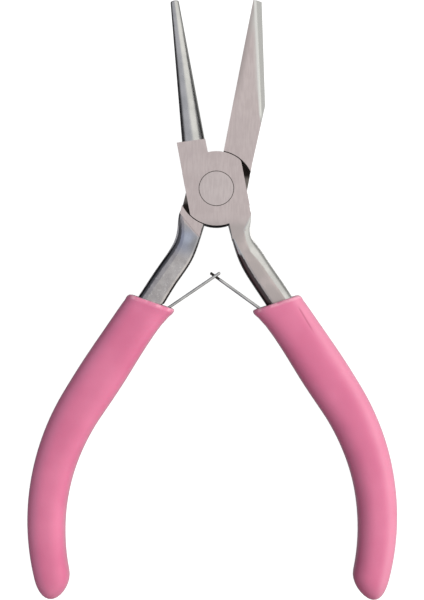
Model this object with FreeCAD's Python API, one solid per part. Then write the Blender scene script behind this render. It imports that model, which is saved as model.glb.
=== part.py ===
import FreeCAD, Part
import os
from collections import namedtuple
from math import cos, radians, sin, sqrt

# Lap-joint jewellery pliers with one round and one flat jaw, stored lying on their back, sprung open.
# Millimetres. Origin: the pivot axis on the back ground face. +Z is the pivot axis, towards the front
# face, and +Y points at the jaws.
#
# Each half is drawn in its own closed frame: the gripping line of its jaw is x = 0, its jaw is at the
# left, its handle is at the right, and its lap disc is at the front. The round half is then turned
# open to the left. The flat half is turned over about the Y axis and turned open to the right.

Vector = FreeCAD.Vector

# ---- driving dimensions --------------------------------------------------------------------------
HALF_OPEN = 11.05          # degrees that each half stands open at rest
THICK = 9.0                # joint, front ground face to back ground face
MID = THICK / 2

# lap joint
DISC_R = 7.45              # lap disc of each half
SHOULDER_R = 7.60          # concave shoulders that clear the other half's disc
LAP_AIR = 0.08             # air between the two lap faces
HEAD_LEFT = -6.15          # flat sides of the head
HEAD_RIGHT = 5.90
SHOULDER_Y = 10.3          # where the head ends and the round jaw starts
DISC_CORNER_R = 1.5        # round corner between the disc and its flat side, by the jaws

# pivot rivet
RIVET_HEAD_R = 3.45
RIVET_HEAD_H = 2.0
RIVET_SHANK_R = 2.40
RUNNING_AIR = 0.05         # the round half turns on the rivet with this radial air

# round jaw, a cone on the head's centre plane
CONE_BASE_R = 2.37
CONE_TIP_R = 0.85
CONE_TIP_Y = 39.4
CONE_BASE_GAP = 0.35       # cone to gripping line, at its base and at its tip
CONE_TIP_GAP = 0.12
CONE_TIP_ROUND = 0.35

# flat jaw
FLAT_TIP_Y = 38.85
FLAT_CORNER = (-6.42, 18.2)      # where the back of the jaw starts to taper
FLAT_TIP_W = 1.75                # width of the tip across the jaw
FLAT_TIP_THICK = 5.6             # thickness of the tip, front to back
FLAT_TAPER_Y = 15.0              # where the front and back faces start to taper
FLAT_BEVEL_START_Y = 14.6        # the bevel runs out on the side of the jaw here
FLAT_BEVEL_W = 1.1               # width of the bevel, seen from the front
FLAT_BEVEL_DEPTH = 0.95          # and its depth

# grips: a straight stretch, then an arc that turns inwards
GRIP_LEAN = 22.0                 # degrees from the closed tool's centre line
GRIP_DOME = 4.8                  # length of the rounded end
MOUTH_LEAN = 8.0                 # degrees of the mouth from square to the closed tool's centre line

# leaf springs
LEAF_T = 0.55
LEAF_W = 4.6
LEAF_TIP = 1.25                  # slotted leaf, past the crossing
TONGUE_TIP = 1.15                # hooked leaf, past the crossing
CROSSING = (-0.28, -17.5)        # where the leaves cross, tool at rest
SLOT_HALF_W = 1.25
SLOT_BEFORE, SLOT_AFTER = 1.7, 0.75      # slot ends, measured from the crossing
NECK_HALF_W = 0.85
NECK_BEFORE, NECK_AFTER = 1.0, 0.75      # neck ends, measured from the crossing
HOOK_HALF_W = 1.6
BEND_AIR = 0.35                  # blade stands this far off its bend line
FOOT_AIR = 0.15                  # and the foot this far on the other side
FOOT_LENGTH = 8.0
BLADE_RELIEF = 0.2               # step in the handle under the folded blade
RELIEF_END = 2.4                 # and its end, from the bend line
FOOT_RIVET_AT = 5.0              # spring rivet, from the bend line
SPRING_RIVET_R = 0.9
SPRING_RIVET_HEAD_R = 1.5
SPRING_RIVET_HEAD_H = 0.5
SPRING_RIVET_DEPTH = 4.4         # of the rivet in the handle
POCKET_AIR = 0.15                # room for the leaf in the grip's mouth

# A steel handle runs through sections, each set across the handle from its inner to its outer edge.
Section = namedtuple("Section", "inner outer thick r_in r_out")
# Half: its handle's bare sections, the grip's mouth (centre), the grip's length, the length of its
# straight stretch and the radius of the arc after it, how far its tip lies outside of its centre line,
# its swelling against the common sizes, the leaf's bend line, and the sign that turns it to its rest
# place.
Half = namedtuple("Half", "sections mouth length straight arc_r tip_out wide bend turn turned_over")

ROUND_HALF = Half(
    sections=[
        Section((1.10, -5.6), (5.78, -5.6), 8.94, 0.25, 0.12),
        Section((1.12, -8.2), (5.42, -8.2), 8.92, 0.30, 0.65),
        Section((1.32, -10.8), (5.28, -10.6), 8.75, 0.40, 1.80),
        Section((1.85, -15.0), (6.45, -13.6), 7.7, 1.20, 2.10),
        Section((3.50, -20.0), (8.28, -17.9), 6.9, 1.40, 2.10),
        Section((5.50, -24.8), (10.35, -22.7), 6.5, 1.40, 2.00),
    ],
    mouth=(7.97, -24.66), length=65.6, straight=23.2, arc_r=46.5, tip_out=1.2, wide=0.0,
    bend=(6.60, -28.05), turn=1, turned_over=False)

FLAT_HALF = Half(
    sections=[
        Section((1.10, -5.6), (6.20, -5.6), 8.5, 0.30, 0.90),
        Section((1.15, -8.2), (6.28, -8.2), 8.4, 0.40, 1.30),
        Section((1.48, -11.2), (6.18, -11.0), 8.1, 0.50, 1.70),
        Section((2.10, -14.6), (6.85, -13.6), 7.5, 0.55, 1.90),
        Section((4.30, -20.0), (8.88, -18.2), 6.8, 0.60, 1.90),
        Section((6.00, -24.5), (10.68, -22.6), 6.5, 0.60, 1.80),
    ],
    mouth=(8.97, -24.66), length=66.0, straight=25.0, arc_r=45.5, tip_out=0.8, wide=-0.12,
    bend=(6.70, -27.09), turn=-1, turned_over=True)

# Tang, hidden in the grip: distance from the mouth, width, thickness
TANG = [(9.0, 4.9, 6.2), (23.0, 4.6, 5.8), (36.0, 4.2, 5.4), (48.0, 3.9, 5.0), (57.0, 3.6, 4.6)]

# Grip: distance from the mouth's centre, reach to the inside and to the outside of the centre line,
# thickness
GRIP = [
    (-1.6, 5.55, 4.10, 8.5),
    (0.0, 5.35, 4.30, 8.7),
    (2.6, 4.85, 4.50, 8.9),
    (8.0, 4.66, 4.68, 8.96),
    (18.0, 4.84, 4.88, 8.98),
    (30.0, 4.58, 4.58, 8.8),
    (42.0, 4.17, 4.20, 8.5),
    (52.0, 3.92, 3.95, 8.1),
]
DOME_START = (3.70, 3.72, 7.7)   # the same, where the rounded end starts
GRIP_CORNER = 0.86               # corner radius of a grip's section, as a share of its half width


# ---- helpers -------------------------------------------------------------------------------------
def prism(points, z0, z1):
    corners = [Vector(x, y, z0) for x, y in points]
    face = Part.Face(Part.makePolygon(corners + corners[:1]))
    return face.extrude(Vector(0, 0, z1 - z0))


def cylinder(radius, z0, z1):
    return Part.makeCylinder(radius, z1 - z0, Vector(0, 0, z0))


def slab(x0, x1):
    return Part.makeBox(x1 - x0, 100, THICK, Vector(x0, -50, 0))


def side_of_plane(a, b, c, inside):
    """A big block on the far side of the plane through a, b and c, seen from the point inside."""
    normal = (b - a).cross(c - a)
    normal.normalize()
    if normal.dot(inside - a) > 0:
        normal = -normal
    block = Part.makeBox(200, 200, 100, Vector(-100, -100, 0))
    block.Placement = FreeCAD.Placement(a, FreeCAD.Rotation(Vector(0, 0, 1), normal))
    return block


def rounded_section(centre, across, inner, outer, thick, r_in, r_out):
    """A closed wire in the plane of across and Z: a rectangle with round corners, sharper inside."""
    up = Vector(0, 0, 1)
    half = thick / 2

    def at(n, h):
        return centre + across * n + up * h

    def corner(n, h, radius, sign_n, sign_h):
        mid = Vector(n - sign_n * radius, h - sign_h * radius, 0)
        bow = radius * sqrt(0.5)
        ends = [(n, mid.y), (mid.x + sign_n * bow, mid.y + sign_h * bow), (mid.x, h)]
        if sign_n * sign_h < 0:
            ends.reverse()
        return [at(*end) for end in ends]

    corners = [
        corner(outer, half, r_out, 1, 1),
        corner(-inner, half, r_in, -1, 1),
        corner(-inner, -half, r_in, -1, -1),
        corner(outer, -half, r_out, 1, -1),
    ]
    edges = []
    for here, after in zip(corners, corners[1:] + corners[:1]):
        edges.append(Part.Arc(*here).toShape())
        edges.append(Part.LineSegment(here[2], after[0]).toShape())
    return Part.Wire(edges)


def grip_centre(half, s):
    """Point and unit direction across the grip (outwards), s along its centre line from the mouth."""
    lean = radians(GRIP_LEAN)
    mouth = Vector(half.mouth[0], half.mouth[1], MID)
    if s <= half.straight:
        return mouth + Vector(sin(lean), -cos(lean), 0) * s, Vector(cos(lean), sin(lean), 0)
    arc_start = mouth + Vector(sin(lean), -cos(lean), 0) * half.straight
    centre = arc_start - Vector(cos(lean), sin(lean), 0) * half.arc_r
    angle = lean - (s - half.straight) / half.arc_r
    across = Vector(cos(angle), sin(angle), 0)
    return centre + across * half.arc_r, across


def to_rest(half, shape):
    """From a half's closed frame to its place in the open tool."""
    if half.turned_over:
        shape.rotate(Vector(0, 0, MID), Vector(0, 1, 0), 180)
    shape.rotate(Vector(0, 0, 0), Vector(0, 0, 1), half.turn * HALF_OPEN)
    return shape


# ---- steel halves --------------------------------------------------------------------------------
def head(diagonal):
    """Full-thickness joint block: lap disc with flat sides, jaw root and the ground handle root."""
    disc = cylinder(DISC_R, 0, THICK).common(slab(HEAD_LEFT, HEAD_RIGHT))
    corner = max(disc.Edges, key=lambda edge: edge.CenterOfMass.x + 0.1 * edge.CenterOfMass.y)
    disc = disc.makeFillet(DISC_CORNER_R, [corner])
    jaw_root = prism([(HEAD_LEFT, 0), (-6.05, SHOULDER_Y + 0.2), (-0.3, SHOULDER_Y - 0.15),
                      (-0.25, 0)], 0, THICK)
    handle_root = prism([(1.10, 0), (HEAD_RIGHT, 0)] + diagonal, 0, THICK)
    return disc.fuse(jaw_root).fuse(handle_root)


def handle(half):
    """Bare handle and the tang inside the grip, one smooth loft."""
    wires = []
    for section in half.sections:
        inner = Vector(section.inner[0], section.inner[1], MID)
        across = Vector(section.outer[0], section.outer[1], MID) - inner
        width = across.Length
        across.normalize()
        wires.append(rounded_section(inner, across, 0, width, section.thick, section.r_in,
                                     section.r_out))
    for s, width, thick in TANG:
        centre, across = grip_centre(half, s)
        wires.append(rounded_section(centre, across, width / 2, width / 2, thick, 0.6, 1.2))
    return Part.makeLoft(wires, True, False)


def lap_recess():
    """Room for the other half's disc, behind this half's own."""
    return cylinder(SHOULDER_R, -1, MID + LAP_AIR / 2)


def round_jaw():
    base = Vector(-CONE_BASE_GAP - CONE_BASE_R, SHOULDER_Y - 0.6, MID)
    tip = Vector(-CONE_TIP_GAP - CONE_TIP_R, CONE_TIP_Y, MID)
    axis = tip - base
    cone = Part.makeCone(CONE_BASE_R, CONE_TIP_R, axis.Length, base, axis)
    rim = max(cone.Edges, key=lambda edge: edge.CenterOfMass.y)
    return cone.makeFillet(CONE_TIP_ROUND, [rim])


def flat_jaw():
    corner_x, corner_y = FLAT_CORNER
    jaw = prism([(0, 5), (0, FLAT_TIP_Y), (-FLAT_TIP_W, FLAT_TIP_Y), (corner_x, corner_y),
                 (HEAD_LEFT + 0.1, 5)], 0, THICK)
    inside = Vector(-1, 12, MID)
    taper_z = FLAT_TIP_THICK / 2
    taper_x = Vector(1, 0, 0)
    for sign in (1, -1):
        # front or back face tapers towards the tip
        start = Vector(0, FLAT_TAPER_Y, MID + sign * MID)
        end = Vector(0, FLAT_TIP_Y, MID + sign * taper_z)
        jaw = jaw.cut(side_of_plane(start, end, start + taper_x, inside))
        # bevel between that face and the tapered back of the jaw
        near = Vector(corner_x + 0.25, FLAT_BEVEL_START_Y, MID + sign * MID)
        far = Vector(FLAT_BEVEL_W - FLAT_TIP_W, FLAT_TIP_Y, MID + sign * taper_z)
        low = Vector(corner_x, corner_y, MID + sign * (MID - FLAT_BEVEL_DEPTH))
        jaw = jaw.cut(side_of_plane(near, far, low, inside))
    return jaw


def spring_rivet_line(half):
    """Point on the handle's inner edge where the spring rivet goes in, and its outward direction."""
    bend, along, inwards = leaf_foot_axes(half)
    return bend - along * FOOT_RIVET_AT - inwards * (LEAF_T / 2), -inwards


def spring_rivet(half):
    point, outward = spring_rivet_line(half)
    head_start = point - outward * (LEAF_T + SPRING_RIVET_HEAD_H)
    shank = Part.makeCylinder(SPRING_RIVET_R, SPRING_RIVET_HEAD_H + LEAF_T + SPRING_RIVET_DEPTH,
                              head_start, outward)
    dome = Part.makeCylinder(SPRING_RIVET_HEAD_R, SPRING_RIVET_HEAD_H, head_start, outward)
    rim = min(dome.Edges, key=lambda edge: (edge.CenterOfMass - head_start).Length)
    return shank.fuse(dome.makeFillet(0.3, [rim])).removeSplitter()


def round_jaw_half():
    body = head([(5.78, -6.4), (3.5, -10.2), (1.25, -10.6)])
    body = body.fuse(handle(ROUND_HALF)).cut(lap_recess()).fuse(round_jaw())
    body = body.cut(cylinder(RIVET_SHANK_R + RUNNING_AIR, -1, THICK + 1))
    counterbore = THICK - RIVET_HEAD_H - RUNNING_AIR
    body = body.cut(cylinder(RIVET_HEAD_R + RUNNING_AIR, counterbore, THICK + 1))
    return body.cut(foot_seat(ROUND_HALF)).cut(spring_rivet(ROUND_HALF)).removeSplitter()


def flat_jaw_half():
    body = head([(6.2, -6.3), (1.45, -10.2)]).fuse(flat_jaw())
    body = body.fuse(handle(FLAT_HALF)).cut(lap_recess())
    body = body.cut(cylinder(RIVET_SHANK_R, -1, THICK + 1))
    body = body.cut(cylinder(RIVET_HEAD_R, THICK - RIVET_HEAD_H, THICK + 1))
    return body.cut(foot_seat(FLAT_HALF)).cut(spring_rivet(FLAT_HALF)).removeSplitter()


def pivot_rivet():
    """Headed both ends, ground flush: it turns in the round half and is fast in the flat half."""
    rivet = cylinder(RIVET_SHANK_R, 0, THICK)
    rivet = rivet.fuse(cylinder(RIVET_HEAD_R, THICK - RIVET_HEAD_H, THICK))
    return rivet.fuse(cylinder(RIVET_HEAD_R, 0, RIVET_HEAD_H))


# ---- leaf springs --------------------------------------------------------------------------------
def leaf_foot_axes(half):
    """Bend line, direction of the handle towards the joint, and direction away from the handle."""
    top, bottom = half.sections[-2], half.sections[-1]
    along = Vector(top.inner[0] - bottom.inner[0], top.inner[1] - bottom.inner[1], 0)
    along.normalize()
    return Vector(half.bend[0], half.bend[1], MID), along, Vector(-along.y, along.x, 0)


def leaf_blade_axes(half):
    """Bend line, direction of the blade, and its length from there to the crossing."""
    turn = radians(-HALF_OPEN * half.turn)
    x = CROSSING[0] * cos(turn) - CROSSING[1] * sin(turn)
    y = CROSSING[0] * sin(turn) + CROSSING[1] * cos(turn)
    if half.turned_over:
        x = -x
    bend = Vector(half.bend[0], half.bend[1], MID)
    along = Vector(x, y, MID) - bend
    length = along.Length
    along.normalize()
    return bend, along, length


def strip(bend, along, outline):
    """Flat strip, LEAF_T thick, whose outline is given along it and across it, from its centre."""
    normal = Vector(along.y, -along.x, 0)
    start = bend - normal * (LEAF_T / 2)
    corners = [start + along * u + Vector(0, 0, 1) * w for u, w in outline]
    return Part.Face(Part.makePolygon(corners + corners[:1])).extrude(normal * LEAF_T)


def block_outline(u0, u1, half_w):
    return [(u0, -half_w), (u1, -half_w), (u1, half_w), (u0, half_w)]


def slotted_blade(half):
    bend, along, length = leaf_blade_axes(half)
    blade = strip(bend, along, block_outline(BEND_AIR, length + LEAF_TIP, LEAF_W / 2))
    slot = block_outline(length - SLOT_BEFORE, length + SLOT_AFTER, SLOT_HALF_W)
    return blade.cut(strip(bend, along, slot))


def hooked_blade(half):
    bend, along, length = leaf_blade_axes(half)
    blade = strip(bend, along, block_outline(BEND_AIR, length - NECK_BEFORE, LEAF_W / 2))
    neck = block_outline(length - NECK_BEFORE, length + NECK_AFTER, NECK_HALF_W)
    hook = block_outline(length + NECK_AFTER, length + TONGUE_TIP, HOOK_HALF_W)
    blade = blade.fuse(strip(bend, along, neck)).fuse(strip(bend, along, hook))
    return blade.removeSplitter()


def spring_foot(half):
    bend, along, _ = leaf_foot_axes(half)
    foot = strip(bend, along, block_outline(-FOOT_LENGTH, -FOOT_AIR, LEAF_W / 2))
    return foot.cut(spring_rivet(half))


def foot_seat(half):
    """Flat along the handle's inner edge that the foot lies on, stepped back where the blade folds."""
    bend, along, inwards = leaf_foot_axes(half)
    seat = strip(bend, along, block_outline(-FOOT_LENGTH - 0.5, RELIEF_END, THICK))
    folded = bend - inwards * BLADE_RELIEF
    return seat.fuse(strip(folded, along, block_outline(-FOOT_AIR, RELIEF_END, THICK)))


def leaf_pocket(half):
    """Room in the grip's mouth for the leaf, from flat on the handle to its rest slope."""
    bend, foot, inwards = leaf_foot_axes(half)
    _, blade, _ = leaf_blade_axes(half)
    lift = LEAF_T / 2 + POCKET_AIR
    reach = 9.0
    outer_side = Vector(0, 0, 1).cross(blade)
    corners = [
        bend - foot * (FOOT_LENGTH + 0.2) - inwards * 1.0,
        bend - foot * (FOOT_LENGTH + 0.2) + inwards * lift,
        bend - foot * 0.4 + inwards * lift,
        bend + blade * reach + outer_side * lift,
        bend + foot * reach - inwards * 1.0,
    ]
    half_w = LEAF_W / 2 + POCKET_AIR
    return prism([(p.x, p.y) for p in corners], MID - half_w, MID + half_w)


# ---- grips ---------------------------------------------------------------------------------------
def grip(half):
    """Soft sleeve with a flared lip, closed at its rounded end, hollow for the tang and the leaf."""
    wires = []
    last = (half.length - GRIP_DOME, *DOME_START)
    rows = GRIP + [last]
    for share in (0.35, 0.62, 0.83, 0.95, 0.995):
        scale = sqrt(1 - share * share)
        rows.append((last[0] + GRIP_DOME * share, last[1] * scale, last[2] * scale, last[3] * scale))
    for s, inner, outer, thick in rows:
        centre, across = grip_centre(half, s)
        centre = centre + across * (half.tip_out * max(0, (s - last[0]) / GRIP_DOME) ** 2)
        inner = inner + half.wide * min(1, inner / last[1])
        outer = outer + half.wide * min(1, outer / last[2])
        radius = GRIP_CORNER * min(inner, outer, thick / 2)
        wires.append(rounded_section(centre, across, inner, outer, thick, radius, radius))
    sleeve = Part.makeLoft(wires, True, False)
    mouth = Vector(half.mouth[0], half.mouth[1], MID)
    lip = Vector(cos(radians(MOUTH_LEAN)), sin(radians(MOUTH_LEAN)), 0)
    end, _ = grip_centre(half, half.length)
    sleeve = sleeve.cut(side_of_plane(mouth, mouth + lip, mouth + Vector(0, 0, 1), end))
    return sleeve.cut(handle(half)).cut(leaf_pocket(half)).cut(spring_rivet(half))


NODES = {
    "round_jaw_half": (ROUND_HALF, round_jaw_half),
    "flat_jaw_half": (FLAT_HALF, flat_jaw_half),
    "right_grip": (ROUND_HALF, lambda: grip(ROUND_HALF)),
    "left_grip": (FLAT_HALF, lambda: grip(FLAT_HALF)),
    "right_spring_blade": (ROUND_HALF, lambda: hooked_blade(ROUND_HALF)),
    "left_spring_blade": (FLAT_HALF, lambda: slotted_blade(FLAT_HALF)),
    "right_spring_foot": (ROUND_HALF, lambda: spring_foot(ROUND_HALF)),
    "left_spring_foot": (FLAT_HALF, lambda: spring_foot(FLAT_HALF)),
    "right_spring_rivet": (ROUND_HALF, lambda: spring_rivet(ROUND_HALF)),
    "left_spring_rivet": (FLAT_HALF, lambda: spring_rivet(FLAT_HALF)),
}

os.makedirs("parts", exist_ok=True)
for name, (half, make) in NODES.items():
    to_rest(half, make()).exportStep(f"parts/{name}.step")
pivot_rivet().exportStep("parts/pivot_rivet.step")
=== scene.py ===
import bmesh
import bpy
from math import cos, hypot, pi, radians, sin, tan, tau
from mathutils import Matrix, Vector, noise


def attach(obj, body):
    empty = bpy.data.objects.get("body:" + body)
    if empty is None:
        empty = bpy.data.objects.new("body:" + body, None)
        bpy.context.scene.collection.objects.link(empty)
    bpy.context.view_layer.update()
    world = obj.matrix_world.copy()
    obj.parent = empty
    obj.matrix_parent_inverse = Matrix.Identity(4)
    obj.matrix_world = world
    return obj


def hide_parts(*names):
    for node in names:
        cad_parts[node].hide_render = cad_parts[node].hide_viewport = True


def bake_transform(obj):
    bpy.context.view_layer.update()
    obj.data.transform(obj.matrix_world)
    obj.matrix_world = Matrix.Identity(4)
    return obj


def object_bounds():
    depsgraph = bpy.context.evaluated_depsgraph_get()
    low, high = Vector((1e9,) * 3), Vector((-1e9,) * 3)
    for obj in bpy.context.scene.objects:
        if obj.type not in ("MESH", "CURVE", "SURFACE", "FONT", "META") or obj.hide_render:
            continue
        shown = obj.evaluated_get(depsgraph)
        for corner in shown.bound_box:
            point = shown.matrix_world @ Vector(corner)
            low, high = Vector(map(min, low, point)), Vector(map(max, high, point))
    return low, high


# Looks of the open lap-joint pliers. Metres, in the frame of the CAD model. Lengths below are in
# millimetres, times MM. Each half is described in its own closed frame, where the handle is at the
# right, and is then turned to its place in the open tool.

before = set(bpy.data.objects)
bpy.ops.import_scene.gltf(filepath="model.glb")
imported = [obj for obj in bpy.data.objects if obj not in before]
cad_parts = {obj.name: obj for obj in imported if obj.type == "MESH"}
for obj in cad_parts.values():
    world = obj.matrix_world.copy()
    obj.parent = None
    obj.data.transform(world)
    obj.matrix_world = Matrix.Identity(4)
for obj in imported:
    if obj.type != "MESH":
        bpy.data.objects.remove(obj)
cad_low, cad_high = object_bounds()

MM = 0.001
HALF_OPEN = radians(11.05)
MOUTH_LEAN = radians(8.0)            # of the grips' mouths, tool closed
THICK = 9.0
MID = THICK / 2
RIVET_HEAD_R = 3.45


class Half:
    """One half of the tool: which side of the picture its handle is at, and its own measures."""

    def __init__(self, side, mouth, length, straight, arc_r, tip_out, wide, bore, bend, foot):
        self.side = side
        self.mirrored = side == "left"
        self.body = "flat_half" if self.mirrored else "round_half"
        self.leaf_body = f"{side}_leaf"
        self.mouth = Vector((mouth[0], mouth[1], 0))
        self.length = length
        self.straight = straight
        self.arc_r = arc_r
        self.tip_out = tip_out
        self.wide = wide
        self.bore = bore
        self.bend = Vector((bend[0], bend[1], 0))
        self.foot_along = Vector((foot[0], foot[1], 0)).normalized()

    def place(self, p):
        """A point of the closed frame, in mm, at its place in the open tool, in metres."""
        x = -p[0] if self.mirrored else p[0]
        z = THICK - p[2] if self.mirrored else p[2]
        turn = -HALF_OPEN if self.mirrored else HALF_OPEN
        return Vector((x * cos(turn) - p[1] * sin(turn), x * sin(turn) + p[1] * cos(turn), z)) * MM


LEFT = Half("left", mouth=(8.97, -24.66), length=66.0, straight=25.0, arc_r=45.5, tip_out=0.8,
            wide=-0.12, bore=2.40, bend=(6.70, -27.09), foot=(-1.70, 4.50))
RIGHT = Half("right", mouth=(7.97, -24.66), length=65.6, straight=23.2, arc_r=46.5, tip_out=1.2,
             wide=0.0, bore=2.98, bend=(6.60, -28.05), foot=(-2.00, 4.80))


# ---- shader helpers ------------------------------------------------------------------------------
class Shader:
    """A material under construction: adds nodes and links them."""

    def __init__(self, name):
        self.material = bpy.data.materials.new(name)
        self.material.use_nodes = True
        self.tree = self.material.node_tree
        self.tree.nodes.clear()
        self.surface = self.add("ShaderNodeBsdfPrincipled")
        output = self.add("ShaderNodeOutputMaterial")
        self.link(self.surface.outputs[0], output.inputs[0])
        self.coords = self.add("ShaderNodeTexCoord")

    def add(self, kind, **values):
        node = self.tree.nodes.new(kind)
        for key, value in values.items():
            setattr(node, key, value)
        return node

    def link(self, source, target):
        self.tree.links.new(source, target)

    def put(self, socket, value):
        """A number, a colour or another node's output, into a socket."""
        if isinstance(value, bpy.types.NodeSocket):
            self.link(value, socket)
        else:
            socket.default_value = value

    def math(self, operation, a, b=0.0, clamp=False):
        node = self.add("ShaderNodeMath", operation=operation, use_clamp=clamp)
        self.put(node.inputs[0], a)
        self.put(node.inputs[1], b)
        return node.outputs[0]

    def ramp(self, value, low, high, to_low=0.0, to_high=1.0):
        """Smooth step of value from low to high."""
        node = self.add("ShaderNodeMapRange", interpolation_type="SMOOTHSTEP")
        self.put(node.inputs[0], value)
        for socket, number in zip(node.inputs[1:5], (low, high, to_low, to_high)):
            self.put(socket, number)
        return node.outputs[0]

    def mix(self, share, a, b):
        node = self.add("ShaderNodeMix", data_type="RGBA")
        self.put(node.inputs[0], share)
        self.put(node.inputs[6], a if isinstance(a, bpy.types.NodeSocket) else (*a, 1))
        self.put(node.inputs[7], b if isinstance(b, bpy.types.NodeSocket) else (*b, 1))
        return node.outputs[2]

    def noise(self, scale, detail=2.0, roughness=0.5, seed=(0, 0, 0)):
        """Noise over the object, scale in cycles per millimetre, one number or one for each axis."""
        if not isinstance(scale, tuple):
            scale = (scale, scale, scale)
        mapping = self.add("ShaderNodeMapping")
        self.link(self.coords.outputs["Object"], mapping.inputs[0])
        mapping.inputs["Scale"].default_value = [s / MM for s in scale]
        mapping.inputs["Location"].default_value = seed
        node = self.add("ShaderNodeTexNoise")
        self.link(mapping.outputs[0], node.inputs["Vector"])
        node.inputs["Scale"].default_value = 1.0
        node.inputs["Detail"].default_value = detail
        node.inputs["Roughness"].default_value = roughness
        return node.outputs["Fac"]

    def bump(self, height, distance_mm, strength=1.0):
        node = self.add("ShaderNodeBump")
        node.inputs["Strength"].default_value = strength
        node.inputs["Distance"].default_value = distance_mm * MM
        self.link(height, node.inputs["Height"])
        self.link(node.outputs[0], self.surface.inputs["Normal"])

    def object_axis(self, output, axis):
        node = self.add("ShaderNodeSeparateXYZ")
        self.link(self.coords.outputs[output], node.inputs[0])
        return node.outputs[axis]


# ---- materials -----------------------------------------------------------------------------------
GROUND = ((0.590, 0.512, 0.505), (0.650, 0.570, 0.560))          # ground faces, dark and light
RIVET_GROUND = ((0.605, 0.535, 0.528), (0.665, 0.592, 0.582))
SEAM = (0.17, 0.145, 0.14)                                       # grime in the joint's seams
SEAM_R = RIVET_HEAD_R + 0.02
SEAM_HALF_W = 0.10


def ground_colour(s, dark, light):
    """Satin ground steel: faint streaks along the jaws, and a slight cloudiness."""
    streaks = s.noise((3.0, 0.35, 3.0), detail=3.0)
    cloud = s.noise(0.35, detail=3.0, seed=(3, 1, 0))
    shade = s.math("ADD", s.math("MULTIPLY", streaks, 0.6), s.math("MULTIPLY", cloud, 0.4))
    return s.mix(s.ramp(shade, 0.38, 0.62), dark, light)


def spot_distance(s, point_mm):
    """Distance in mm of the object's point from a point in XY."""
    x = s.math("SUBTRACT", s.object_axis("Object", 0), point_mm[0] * MM)
    y = s.math("SUBTRACT", s.object_axis("Object", 1), point_mm[1] * MM)
    distance = s.math("SQRT", s.math("ADD", s.math("MULTIPLY", x, x), s.math("MULTIPLY", y, y)))
    return s.math("DIVIDE", distance, MM)


def grime_ring(s, radius_mm, half_width_mm):
    """1 in a thin ring about the pivot axis, 0 elsewhere."""
    off = s.math("ABSOLUTE", s.math("SUBTRACT", spot_distance(s, (0, 0)), radius_mm))
    return s.ramp(off, half_width_mm, half_width_mm * 0.5)


def line_side(s, point_mm, normal):
    """Signed distance in mm of the object's point from a line in XY, positive along the normal."""
    x = s.math("SUBTRACT", s.object_axis("Object", 0), point_mm[0] * MM)
    y = s.math("SUBTRACT", s.object_axis("Object", 1), point_mm[1] * MM)
    length = hypot(*normal)
    return s.math("ADD", s.math("MULTIPLY", x, normal[0] / length / MM),
                  s.math("MULTIPLY", y, normal[1] / length / MM))


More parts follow.
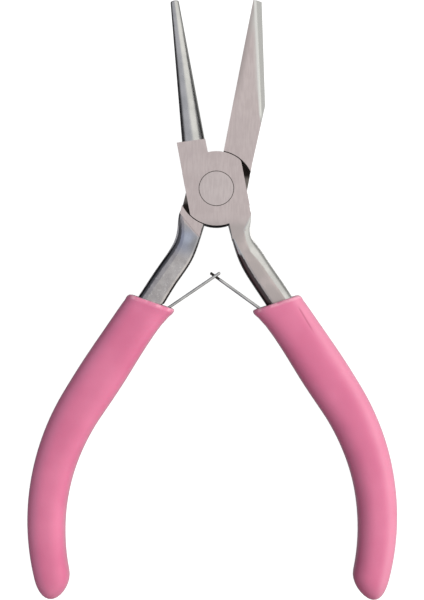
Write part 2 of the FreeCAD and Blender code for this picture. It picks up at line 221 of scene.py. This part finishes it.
def half_steel(name, half):
    """Ground joint and jaw faces, lap faces dark with oxide and painted shade, smoother forged handle,
    turned round jaw; painted highlights and shade on flanks, bend and jaw edges.
    """
    s = Shader(name)
    x, y = s.object_axis("Object", 0), s.object_axis("Object", 1)
    normal_x = s.object_axis("Normal", 0)
    up = s.math("ABSOLUTE", s.object_axis("Normal", 2))
    off_middle = s.math("ABSOLUTE", s.math("SUBTRACT", s.object_axis("Object", 2), MID * MM))
    facing = s.math("MULTIPLY", s.ramp(up, 0.955, 0.985), s.ramp(off_middle, 2.6 * MM, 2.75 * MM))
    lap = s.math("MULTIPLY", s.ramp(up, 0.97, 0.99), s.ramp(off_middle, 0.30 * MM, 0.20 * MM))
    handle = s.ramp(y, -5.5 * MM, -8.0 * MM)
    speckle = s.noise(3.5, detail=2.0)
    cloud = s.noise(0.30, detail=3.0, seed=(1, 7, 0))
    satin = ground_colour(s, *GROUND)
    if half.mirrored:
        joint = s.ramp(line_side(s, (-7.42, -5.49), (4.14, 3.86)), -0.25, 0.10)
        inward = normal_x
        # painted shade on the steep inward-facing flank of the handle
        scale = s.math("MULTIPLY", s.ramp(inward, 0.50, 0.66), s.ramp(y, -10.5 * MM, -12.0 * MM))
        forged = s.mix(s.ramp(cloud, 0.38, 0.64), (0.45, 0.425, 0.420), (0.56, 0.535, 0.525))
        sparkle = s.noise(2.4, detail=1.0, seed=(4, 9, 0))
        glints = s.math("MULTIPLY", s.ramp(sparkle, 0.58, 0.72, 0.0, 0.45),
                        s.ramp(y, -12.0 * MM, -16.0 * MM))
        forged = s.mix(glints, forged, (0.78, 0.76, 0.74))
        # heat tint at the bend, with a painted highlight in its middle and painted shade on its side
        blued = s.ramp(spot_distance(s, (-6.1, -10.4)), 4.2, 0.8, 0.0, 0.85)
        forged = s.mix(blued, forged, (0.35, 0.38, 0.47))
        bend_shade = s.ramp(spot_distance(s, (-4.0, -11.4)), 2.6, 0.6, 0.0, 0.8)
        forged = s.mix(bend_shade, forged, (0.32, 0.32, 0.33))
        bend_highlight = s.ramp(spot_distance(s, (-5.9, -9.9)), 1.7, 0.2, 0.0, 0.8)
        forged = s.mix(bend_highlight, forged, (0.47, 0.51, 0.61))
        # the flat jaw is paler towards its tip and beside its bevel, has a painted highlight along the
        # bevel's edge, and painted shade towards its gripping edge
        bevel_line = line_side(s, (8.86, 13.4), (23.1, 1.0))
        beside = s.math("MULTIPLY", s.ramp(bevel_line, -1.0, -0.1, 0.0, 0.6),
                        s.ramp(y, 16.0 * MM, 21.0 * MM))
        satin = s.mix(s.math("MAXIMUM", beside, s.ramp(y, 29.5 * MM, 35.0 * MM)), satin,
                      (0.72, 0.715, 0.685))
        grip_line = line_side(s, (0, 0), (cos(HALF_OPEN), -sin(HALF_OPEN)))
        grip_edge_shade = s.math("MULTIPLY", s.ramp(grip_line, 1.5, 0.0, 0.0, 0.8),
                           s.ramp(y, 14.0 * MM, 24.0 * MM))
        satin = s.mix(grip_edge_shade, satin, (0.42, 0.37, 0.365))
        # painted highlight along the edge between the face and its bevel
        bevel_edge_highlight = s.math("MULTIPLY", s.ramp(s.math("ABSOLUTE", bevel_line), 0.40, 0.10),
                             s.ramp(y, 13.5 * MM, 15.0 * MM))
        on_bevel = s.math("MULTIPLY", s.ramp(up, 0.93, 0.86), s.ramp(y, 12.5 * MM, 14.0 * MM))
        forged = s.mix(on_bevel, forged, (0.50, 0.50, 0.49))
        # painted shade: a dark line runs along the handle, where its flank turns away
        flank_shade_line = s.math("MULTIPLY", s.ramp(normal_x, -0.34, -0.46), s.ramp(normal_x, -0.80, -0.70))
        forged = s.mix(s.math("MULTIPLY", flank_shade_line, handle), forged, (0.13, 0.13, 0.14))
        inner_flank_shade_colour = (0.050, 0.035, 0.030)
    else:
        bevel_edge_highlight = 0.0
        # the ground face runs down the inner side of the handle, left of a line with three corners
        above = line_side(s, (5.30, -8.34), (0, 1))
        below = line_side(s, (5.30, -8.34), (0, -1))
        upper = s.math("MAXIMUM", line_side(s, (5.30, -8.34), (-2.86, 1.42)), below)
        flare = s.math("MINIMUM", line_side(s, (6.72, -12.68), (-3.66, -3.34)),
                       line_side(s, (10.06, -16.34), (-4.60, -3.00)))
        lower = s.math("MAXIMUM", line_side(s, (5.30, -8.34), (-4.34, -1.42)), flare)
        joint = s.math("MINIMUM", upper, s.math("MAXIMUM", lower, above))
        joint = s.ramp(joint, -0.30, 0.10)
        inward = s.math("MULTIPLY", normal_x, -1.0)
        # painted shade on the inward-facing flank of the handle
        scale = s.math("MULTIPLY", s.ramp(inward, 0.14, 0.24), s.ramp(y, -12.9 * MM, -13.6 * MM))
        inner_flank_shade_colour = (0.105, 0.085, 0.082)
        forged = s.mix(s.ramp(cloud, 0.38, 0.64), (0.60, 0.60, 0.585), (0.70, 0.695, 0.675))
        satin = s.mix(s.math("MULTIPLY", handle, s.ramp(cloud, 0.30, 0.60, 0.4, 1.0)), satin,
                      (0.500, 0.450, 0.438))
    ground = s.math("MULTIPLY", facing, joint)
    colour = s.mix(bevel_edge_highlight, s.mix(ground, forged, satin), (0.80, 0.80, 0.77))
    # painted shade on the handle's inward-facing flank
    colour = s.mix(scale, colour, inner_flank_shade_colour)
    # the lap faces are dark with oily oxide and painted shade, and paler, as painted light, within
    # about 3 mm of y = 0
    lap_edge = s.ramp(s.math("ABSOLUTE", y), 3.1 * MM, 2.0 * MM, 0.0, 0.55)
    colour = s.mix(lap, colour, s.mix(lap_edge, (0.022, 0.018, 0.016), (0.30, 0.27, 0.25)))
    # painted shade on the disc's wall below the pivot
    disc_wall_shade = s.math("MULTIPLY", s.ramp(up, 0.6, 0.4), s.ramp(y, -5.2 * MM, -5.6 * MM))
    disc_wall_shade = s.math("MULTIPLY", disc_wall_shade, s.ramp(spot_distance(s, (0, 0)), 7.72, 7.66))
    colour = s.mix(disc_wall_shade, colour, (0.020, 0.017, 0.015))
    quadrant = s.ramp(s.math("MULTIPLY", x, y), 0.0, 4e-6)
    rivet_ring = grime_ring(s, SEAM_R, SEAM_HALF_W)
    disc_ring = s.math("MULTIPLY", grime_ring(s, 7.54, 0.13), quadrant)
    grime = s.math("MULTIPLY", s.math("MAXIMUM", rivet_ring, disc_ring), facing)
    colour = s.mix(grime, colour, SEAM)
    # the forging's flank is made dull and painted pale, a painted reflection, where it turns away from
    # the ground face
    outward = s.math("MULTIPLY", inward, -1.0)
    dull_flank_painted_pale = s.math("MULTIPLY", s.ramp(outward, 0.72, 0.82, 0.0, 0.85), handle)
    s.link(s.mix(dull_flank_painted_pale, colour, (0.86, 0.85, 0.85)), s.surface.inputs["Base Color"])
    s.link(s.math("SUBTRACT", 1.0, dull_flank_painted_pale), s.surface.inputs["Metallic"])
    hairlines = s.noise((7.0, 0.6, 7.0), detail=2.0)
    rough = s.math("ADD", s.ramp(ground, 0.0, 1.0, 0.29, 0.42),
                   s.ramp(hairlines, 0.3, 0.7, -0.03, 0.04))
    s.link(rough, s.surface.inputs["Roughness"])
    forging = s.noise(0.45, detail=2.0, seed=(5, 2, 0))
    skin = s.math("ADD", s.math("MULTIPLY", forging, 5.0), s.math("MULTIPLY", speckle, 0.5))
    skin = s.math("MULTIPLY", skin, s.math("MULTIPLY", handle, s.math("SUBTRACT", 1.0, ground)))
    height = s.math("ADD", s.math("MULTIPLY", hairlines, 0.5), s.math("MULTIPLY", speckle, 0.35))
    s.bump(s.math("ADD", height, skin), 0.014, 0.5)
    return s.material


def rivet_steel(name):
    s = Shader(name)
    satin = ground_colour(s, *RIVET_GROUND)
    ring = grime_ring(s, SEAM_R, SEAM_HALF_W)
    s.link(s.mix(ring, satin, SEAM), s.surface.inputs["Base Color"])
    s.surface.inputs["Metallic"].default_value = 1.0
    hairlines = s.noise((7.0, 0.6, 7.0), detail=2.0)
    s.link(s.ramp(hairlines, 0.3, 0.7, 0.39, 0.45), s.surface.inputs["Roughness"])
    s.bump(hairlines, 0.010, 0.4)
    return s.material


def spring_steel(name):
    """Cold rolled strip with lines along it, with painted shade on the narrow edges inside the hooked
    tips.
    """
    s = Shader(name)
    lines = s.noise((0.4, 0.4, 6.0), detail=3.0)
    strip = s.mix(s.ramp(lines, 0.3, 0.7), (0.40, 0.40, 0.40), (0.60, 0.60, 0.59))
    off_middle = s.math("ABSOLUTE", s.math("SUBTRACT", s.object_axis("Object", 2), MID * MM))
    # painted shade on the up- and down-facing edges near the strip's middle
    slot_edge_shade = s.math("MULTIPLY", s.ramp(s.math("ABSOLUTE", s.object_axis("Normal", 2)), 0.5, 0.8),
                 s.ramp(off_middle, 2.0 * MM, 1.8 * MM))
    s.link(s.mix(slot_edge_shade, strip, (0.05, 0.045, 0.04)), s.surface.inputs["Base Color"])
    s.surface.inputs["Metallic"].default_value = 1.0
    s.link(s.ramp(lines, 0.3, 0.7, 0.22, 0.34), s.surface.inputs["Roughness"])
    s.bump(lines, 0.008, 0.5)
    return s.material


def pink_vinyl(name, half):
    """Soft vinyl: clouded pink, faintly uneven skin, soft gloss, painted sheen on its outer side,
    painted highlights on the rolled lip.
    """
    s = Shader(name)
    mouth = half.place(half.mouth) / MM
    lip_end = half.place(half.mouth + Vector((cos(MOUTH_LEAN), sin(MOUTH_LEAN), 0))) / MM
    along_lip = (lip_end - mouth) * (-1 if half.mirrored else 1)
    from_lip = line_side(s, mouth, (along_lip.y, -along_lip.x))
    cloud = s.noise(0.09, detail=2.0)
    skin = s.noise(1.3, detail=3.0, roughness=0.55)
    pores = s.noise(6.0, detail=2.0)
    colour = s.mix(s.ramp(cloud, 0.30, 0.72), (0.575, 0.128, 0.244), (0.645, 0.168, 0.292))
    normal_x = s.object_axis("Normal", 0)
    if half.mirrored:
        # painted sheen: paler on its outer, left-facing side
        colour = s.mix(s.ramp(normal_x, -0.05, -0.45, 0.0, 0.35), colour, (0.620, 0.190, 0.330))
    else:
        # painted sheen: paler on its outer side, with painted shade along a short crease below the lip
        colour = s.mix(s.ramp(normal_x, 0.05, 0.45, 0.0, 0.55), colour, (0.635, 0.245, 0.345))
        y = s.object_axis("Object", 1)
        off_crease = s.math("ABSOLUTE", line_side(s, (16.2, -23.3), (5.6, 3.3)))
        crease_shade = s.math("MULTIPLY", s.ramp(off_crease, 0.26, 0.04, 0.0, 0.55),
                        s.math("MULTIPLY", s.ramp(y, -23.4 * MM, -24.6 * MM),
                               s.ramp(y, -29.4 * MM, -27.0 * MM)))
        crease_shade = s.math("MULTIPLY", crease_shade, s.ramp(s.object_axis("Normal", 2), 0.1, 0.4))
        colour = s.mix(crease_shade, colour, (0.36, 0.06, 0.13))
    # painted highlights in spots along the rolled lip
    spots = s.ramp(s.noise(0.55, detail=1.0, seed=(2, 5, 0)), 0.42, 0.60, 0.15, 0.75)
    lip = s.math("MULTIPLY", s.ramp(from_lip, 1.0, 0.3), spots)
    s.link(s.mix(lip, colour, (0.82, 0.40, 0.50)), s.surface.inputs["Base Color"])
    s.surface.inputs["Sheen Weight"].default_value = 0.30
    s.surface.inputs["Sheen Roughness"].default_value = 0.45
    s.surface.inputs["Sheen Tint"].default_value = (1.0, 0.92, 0.96, 1)
    s.link(s.ramp(skin, 0.3, 0.7, 0.36, 0.46), s.surface.inputs["Roughness"])
    s.surface.inputs["Subsurface Weight"].default_value = 0.12
    s.surface.inputs["Subsurface Radius"].default_value = (0.0010, 0.0004, 0.0005)
    s.surface.inputs["Subsurface Scale"].default_value = 0.5
    s.surface.inputs["Coat Weight"].default_value = 0.25
    s.surface.inputs["Coat Roughness"].default_value = 0.22
    s.bump(s.math("ADD", skin, s.math("MULTIPLY", pores, 0.3)), 0.03, 0.35)
    return s.material


FLAT_STEEL = half_steel("flat_half_steel", LEFT)
ROUND_STEEL = half_steel("round_half_steel", RIGHT)
RIVET = rivet_steel("rivet_steel")
SPRING = spring_steel("spring_steel")
LEFT_VINYL = pink_vinyl("left_pink_vinyl", LEFT)
RIGHT_VINYL = pink_vinyl("right_pink_vinyl", RIGHT)


def give(obj, material):
    obj.data.materials.clear()
    obj.data.materials.append(material)


# ---- mesh helpers --------------------------------------------------------------------------------
def new_piece(name, bm, material):
    mesh = bpy.data.meshes.new(name)
    bmesh.ops.recalc_face_normals(bm, faces=bm.faces)
    bm.to_mesh(mesh)
    bm.free()
    obj = bpy.data.objects.new(name, mesh)
    bpy.context.scene.collection.objects.link(obj)
    give(obj, material)
    for face in mesh.polygons:
        face.use_smooth = True
    return obj


def apply_modifiers(obj):
    dg = bpy.context.evaluated_depsgraph_get()
    mesh = bpy.data.meshes.new_from_object(obj.evaluated_get(dg))
    obj.modifiers.clear()
    obj.data = mesh


def bridge(bm, ring_a, ring_b):
    count = len(ring_a)
    for i in range(count):
        j = (i + 1) % count
        bm.faces.new((ring_a[i], ring_a[j], ring_b[j], ring_b[i]))


def smooth_rows(rows, at):
    """Catmull-Rom value of a table of rows, whose first column is the position."""
    index = 0
    while index < len(rows) - 2 and at > rows[index + 1][0]:
        index += 1
    before = rows[max(index - 1, 0)]
    a, b = rows[index], rows[index + 1]
    after = rows[min(index + 2, len(rows) - 1)]
    span = b[0] - a[0]
    t = min(max((at - a[0]) / span, 0), 1)
    values = []
    for k in range(1, len(a)):
        slope_a = (b[k] - before[k]) / max(b[0] - before[0], 1e-9) * span
        slope_b = (after[k] - a[k]) / max(after[0] - a[0], 1e-9) * span
        values.append(a[k] * (2 * t**3 - 3 * t**2 + 1) + b[k] * (3 * t**2 - 2 * t**3)
                      + slope_a * (t**3 - 2 * t**2 + t) + slope_b * (t**3 - t**2))
    return values


# ---- grips ---------------------------------------------------------------------------------------
GRIP_LEAN = radians(22.0)
GRIP_DOME = 4.8
MOUTH_SLANT = radians(14.0)          # of the mouth from square to the grip
SLANT_FADES = 9.0                    # the rings are square to the grip from here on
# distance from the mouth, reach to the inside and to the outside of the centre line, thickness
GRIP_ROWS = [
    (-1.6, 5.55, 4.10, 8.5),
    (0.0, 5.35, 4.30, 8.7),
    (2.6, 4.85, 4.50, 8.9),
    (8.0, 4.66, 4.68, 8.96),
    (18.0, 4.84, 4.88, 8.98),
    (30.0, 4.58, 4.58, 8.8),
    (42.0, 4.17, 4.20, 8.5),
    (52.0, 3.92, 3.95, 8.1),
]
DOME_START = (3.70, 3.72, 7.7)       # the same, where the rounded end starts
LIP_REACH_IN, LIP_REACH_OUT = 5.3, 4.3     # of the mouth's corners from the centre line
LIP_END = 2.3              # the rolled lip is done by here
RIM_DEPTH = 4.5            # how deep the mouth is modelled
AROUND = 56                # points round a ring
BODY_RINGS = 46
DOME_RINGS = 8
UNEVEN = 0.006             # share of its width by which the skin sinks in


def grip_centre(half, s):
    lean = GRIP_LEAN
    if s <= half.straight:
        return half.mouth + Vector((sin(lean), -cos(lean), 0)) * s, Vector((cos(lean), sin(lean), 0))
    start = half.mouth + Vector((sin(lean), -cos(lean), 0)) * half.straight
    centre = start - Vector((cos(lean), sin(lean), 0)) * half.arc_r
    angle = lean - (s - half.straight) / half.arc_r
    across = Vector((cos(angle), sin(angle), 0))
    out = half.tip_out * max(0, (s - half.length + GRIP_DOME) / GRIP_DOME) ** 2
    return centre + across * (half.arc_r + out), across


def superellipse(angle, power):
    c, s = cos(angle), sin(angle)
    return (abs(c) ** (2 / power) * (1 if c >= 0 else -1),
            abs(s) ** (2 / power) * (1 if s >= 0 else -1))


def slant_at(s):
    """How far a ring leans along the grip, for each millimetre across it."""
    return tan(MOUTH_SLANT) * max(0, 1 - max(s, 0) / SLANT_FADES)


def grip_ring(bm, half, s, inner, outer, thick, power, dents=True):
    """Ring of vertices, s along the grip; n is across it (outwards is positive), h is from MID."""
    slant = slant_at(s)
    seed = 3 if half.mirrored else 8
    ring = []
    for i in range(AROUND):
        cn, ch = superellipse(tau * i / AROUND, power)
        n = cn * (outer if cn > 0 else inner)
        h = ch * thick / 2
        if dents:
            uneven = noise.noise(Vector((n * 0.16, s * 0.10, h * 0.16 + seed)))
            squeeze = 1 - UNEVEN * (1 - uneven)
            n, h = n * squeeze, h * squeeze
        centre, across = grip_centre(half, s + n * slant)
        p = centre + across * n
        ring.append(bm.verts.new(half.place((p.x, p.y, MID + h))))
    return ring


def section_power(s):
    """How square the grip's section is: flatter faces by the mouth, rounder towards the end."""
    return 3.3 - 0.7 * min(max(s / 34, 0), 1)


def make_grip(half):
    bm = bmesh.new()

    dome_at = half.length - GRIP_DOME
    table = GRIP_ROWS + [(dome_at, *DOME_START)]

    def outer_ring(s, inset=0.0):
        inner = smooth_rows(table, s - LIP_REACH_IN * slant_at(s))[0] + half.wide - inset
        outer = smooth_rows(table, s + LIP_REACH_OUT * slant_at(s))[1] + half.wide - inset
        thick = smooth_rows(table, s)[2]
        return grip_ring(bm, half, s, inner, outer, thick - 2 * inset, section_power(s))

    # inside of the mouth: the steel fills it, apart from the leaf's room at the inner side
    def inner_ring(s, gap):
        return grip_ring(bm, half, s, 4.55 + gap * 0.5, half.bore + gap, 6.6 + 2 * gap, 4.5, False)

    # the lip is rolled and swells a little
    rings = [inner_ring(RIM_DEPTH, 0.0), inner_ring(1.2, 0.0), inner_ring(0.45, 0.05),
             inner_ring(0.12, 0.25), outer_ring(0.0, 0.50), outer_ring(0.10, 0.20),
             outer_ring(0.35, 0.02), outer_ring(0.7, -0.07), outer_ring(1.1, -0.05),
             outer_ring(1.6, 0.04)]
    for i in range(BODY_RINGS + 1):
        rings.append(outer_ring(LIP_END + (dome_at - LIP_END) * i / BODY_RINGS))
    inner, outer, thick = DOME_START
    for step in range(1, DOME_RINGS):
        angle = pi / 2 * step / DOME_RINGS
        scale = cos(angle)
        s = dome_at + GRIP_DOME * sin(angle)
        rings.append(grip_ring(bm, half, s, (inner + half.wide) * scale, (outer + half.wide) * scale,
                               thick * scale, 2.6 - 0.5 * sin(angle)))
    for ring_a, ring_b in zip(rings, rings[1:]):
        bridge(bm, ring_a, ring_b)
    centre, _ = grip_centre(half, half.length)
    tip = bm.verts.new(half.place((centre.x, centre.y, MID)))
    for i in range(AROUND):
        bm.faces.new((rings[-1][i], rings[-1][(i + 1) % AROUND], tip))
    bm.faces.new(rings[0])
    grip = new_piece(f"{half.side}_grip_sleeve", bm, LEFT_VINYL if half.mirrored else RIGHT_VINYL)
    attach(grip, half.body)
    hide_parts(f"{half.side}_grip")


for half in (LEFT, RIGHT):
    make_grip(half)


# ---- leaf springs --------------------------------------------------------------------------------
LEAF_T = 0.55
LEAF_W = 4.6
LEAF_FOOT = 8.0
LEAF_EDGE = 0.20           # round of its edges
BEND_SOFT = 1.2            # half length of the stretch that the bend is spread over


def leaf_path(half, u):
    """Point of the leaf's middle line, u from the bend line, positive on the blade."""
    foot = half.foot_along
    blade = leaf_blade(half).normalized()
    share = min(max((u + BEND_SOFT) / (2 * BEND_SOFT), 0), 1)
    if u <= -BEND_SOFT:
        return half.bend + foot * u
    if u >= BEND_SOFT:
        return half.bend + blade * u
    start = half.bend - foot * BEND_SOFT
    end = half.bend + blade * BEND_SOFT
    return start.lerp(half.bend, share).lerp(half.bend.lerp(end, share), share)


CROSSING = Vector((-0.28, -17.5, 0))


def leaf_blade(half):
    """From the bend line to where the leaves cross."""
    turn = HALF_OPEN if half.mirrored else -HALF_OPEN
    p = Matrix.Rotation(turn, 3, "Z") @ CROSSING
    if half.mirrored:
        p.x = -p.x
    return p - half.bend


def leaf_cells(half):
    """Stretches along the leaf, each with the half widths that are metal: (u0, u1, low, high)."""
    length = leaf_blade(half).length
    wide = LEAF_W / 2
    if half.side == "left":
        slot = 1.25
        return [(-LEAF_FOOT, length - 1.7, 0, wide), (length - 1.7, length + 0.75, slot, wide),
                (length + 0.75, length + 1.25, 0, wide)], [0, slot, wide]
    neck, hook = 0.85, 1.6
    return [(-LEAF_FOOT, length - 1.0, 0, wide), (length - 1.0, length + 0.75, 0, neck),
            (length + 0.75, length + 1.15, 0, hook)], [0, neck, hook, wide]


def make_leaf(half):
    bm = bmesh.new()
    cells, widths = leaf_cells(half)
    rows = sorted({-w for w in widths} | set(widths))
    made = {}

    def vertex(u, w):
        key = (round(u, 4), round(w, 4))
        if key not in made:
            p = leaf_path(half, u)
            made[key] = bm.verts.new(half.place((p.x, p.y, MID + w)))
        return made[key]

    for u0, u1, low, high in cells:
        steps = max(1, round((u1 - u0) / 0.4))
        for i in range(steps):
            ua, ub = u0 + (u1 - u0) * i / steps, u0 + (u1 - u0) * (i + 1) / steps
            for wa, wb in zip(rows, rows[1:]):
                middle = abs(wa + wb) / 2
                if low < middle < high:
                    bm.faces.new((vertex(ua, wa), vertex(ub, wa), vertex(ub, wb), vertex(ua, wb)))
    leaf = new_piece(f"{half.side}_leaf_spring", bm, SPRING)
    solid = leaf.modifiers.new("thickness", "SOLIDIFY")
    solid.thickness = LEAF_T * MM
    solid.offset = 0
    edge = leaf.modifiers.new("edge", "BEVEL")
    edge.width = LEAF_EDGE * MM
    edge.segments = 4
    edge.limit_method = "ANGLE"
    apply_modifiers(leaf)
    start = half.bend - half.foot_along * BEND_SOFT
    end = half.bend + leaf_blade(half).normalized() * (BEND_SOFT * 2)
    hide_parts(f"{half.side}_spring_foot", f"{half.side}_spring_blade")
    half.place((start.x, start.y, MID))
    half.place((end.x, end.y, MID))
    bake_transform(leaf)


for half in (LEFT, RIGHT):
    make_leaf(half)


# ---- carried-over CAD nodes ----------------------------------------------------------------------
give(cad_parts["flat_jaw_half"], FLAT_STEEL)
give(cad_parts["round_jaw_half"], ROUND_STEEL)
for node in ("pivot_rivet", "left_spring_rivet", "right_spring_rivet"):
    give(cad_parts[node], RIVET)


# ---- floor, light and camera ---------------------------------------------------------------------
VIEW_CENTRE = Vector((-0.88, -22.34, THICK)) * MM
VIEW_HEIGHT = 120.0 * MM             # tall side of the picture, at the front ground face
VIEW_DISTANCE = 260.0 * MM


def make_floor():
    bm = bmesh.new()
    bmesh.ops.create_grid(bm, x_segments=1, y_segments=1, size=1.5)
    s = Shader("floor_white")
    s.surface.inputs["Base Color"].default_value = (0.25, 0.25, 0.25, 1)
    s.surface.inputs["Roughness"].default_value = 0.9
    s.surface.inputs["Specular IOR Level"].default_value = 0.0
    s.surface.inputs["Emission Color"].default_value = (1, 1, 1, 1)
    s.surface.inputs["Emission Strength"].default_value = 0.95
    floor = new_piece("floor", bm, s.material)
    floor.location.z = cad_low.z - 0.02 * MM
    floor.visible_glossy = False
    floor.visible_diffuse = False


def make_world():
    """Dim bluish sky at the left, bright at the right, dark below the horizon."""
    world = bpy.data.worlds.new("studio")
    world.use_nodes = True
    tree = world.node_tree
    background = tree.nodes["Background"]
    coords = tree.nodes.new("ShaderNodeTexCoord")
    axes = tree.nodes.new("ShaderNodeSeparateXYZ")
    tree.links.new(coords.outputs["Generated"], axes.inputs[0])

    def step(value, low, high):
        node = tree.nodes.new("ShaderNodeMapRange")
        node.interpolation_type = "SMOOTHSTEP"
        tree.links.new(value, node.inputs[0])
        node.inputs[1].default_value, node.inputs[2].default_value = low, high
        return node.outputs[0]

    def mix(share, a, b):
        node = tree.nodes.new("ShaderNodeMix")
        node.data_type = "RGBA"
        tree.links.new(share, node.inputs[0])
        for socket, value in ((node.inputs[6], a), (node.inputs[7], b)):
            if isinstance(value, tuple):
                socket.default_value = (*value, 1)
            else:
                tree.links.new(value, socket)
        return node.outputs[2]

    sky = mix(step(axes.outputs[0], -0.28, 0.16), (0.53, 0.535, 0.585), (1.03, 1.02, 0.99))
    beneath = mix(step(axes.outputs[0], 0.04, 0.30), (0.012, 0.012, 0.014), (0.34, 0.34, 0.33))
    low = tree.nodes.new("ShaderNodeMath")
    low.operation = "MULTIPLY"
    tree.links.new(step(axes.outputs[2], -0.80, -0.97), low.inputs[0])
    tree.links.new(step(axes.outputs[0], -0.03, -0.16), low.inputs[1])
    beneath = mix(low.outputs[0], beneath, (0.24, 0.24, 0.25))
    tree.links.new(mix(step(axes.outputs[2], -0.22, 0.26), beneath, sky), background.inputs[0])
    background.inputs[1].default_value = 1.0
    bpy.context.scene.world = world


def area_light(name, location_mm, size_mm, power):
    """A big soft lamp aimed at the middle of the tool, left out of sharp reflections."""
    data = bpy.data.lights.new(name, "AREA")
    data.shape = "DISK"
    data.size = size_mm * MM
    data.energy = power
    light = bpy.data.objects.new(name, data)
    light.location = Vector(location_mm) * MM
    aim = VIEW_CENTRE - light.location
    light.rotation_euler = aim.to_track_quat("-Z", "Y").to_euler()
    light.visible_glossy = False
    bpy.context.scene.collection.objects.link(light)


def make_camera():
    data = bpy.data.cameras.new("camera")
    data.lens = data.sensor_width * VIEW_DISTANCE / VIEW_HEIGHT
    data.clip_start = 0.01
    camera = bpy.data.objects.new("camera", data)
    camera.location = VIEW_CENTRE + Vector((0, 0, VIEW_DISTANCE))
    bpy.context.scene.collection.objects.link(camera)
    bpy.context.scene.camera = camera


make_floor()
make_world()
area_light("key", (430, 60, 260), 300, 2.0)
make_camera()
bpy.context.scene.view_settings.view_transform = "Standard"
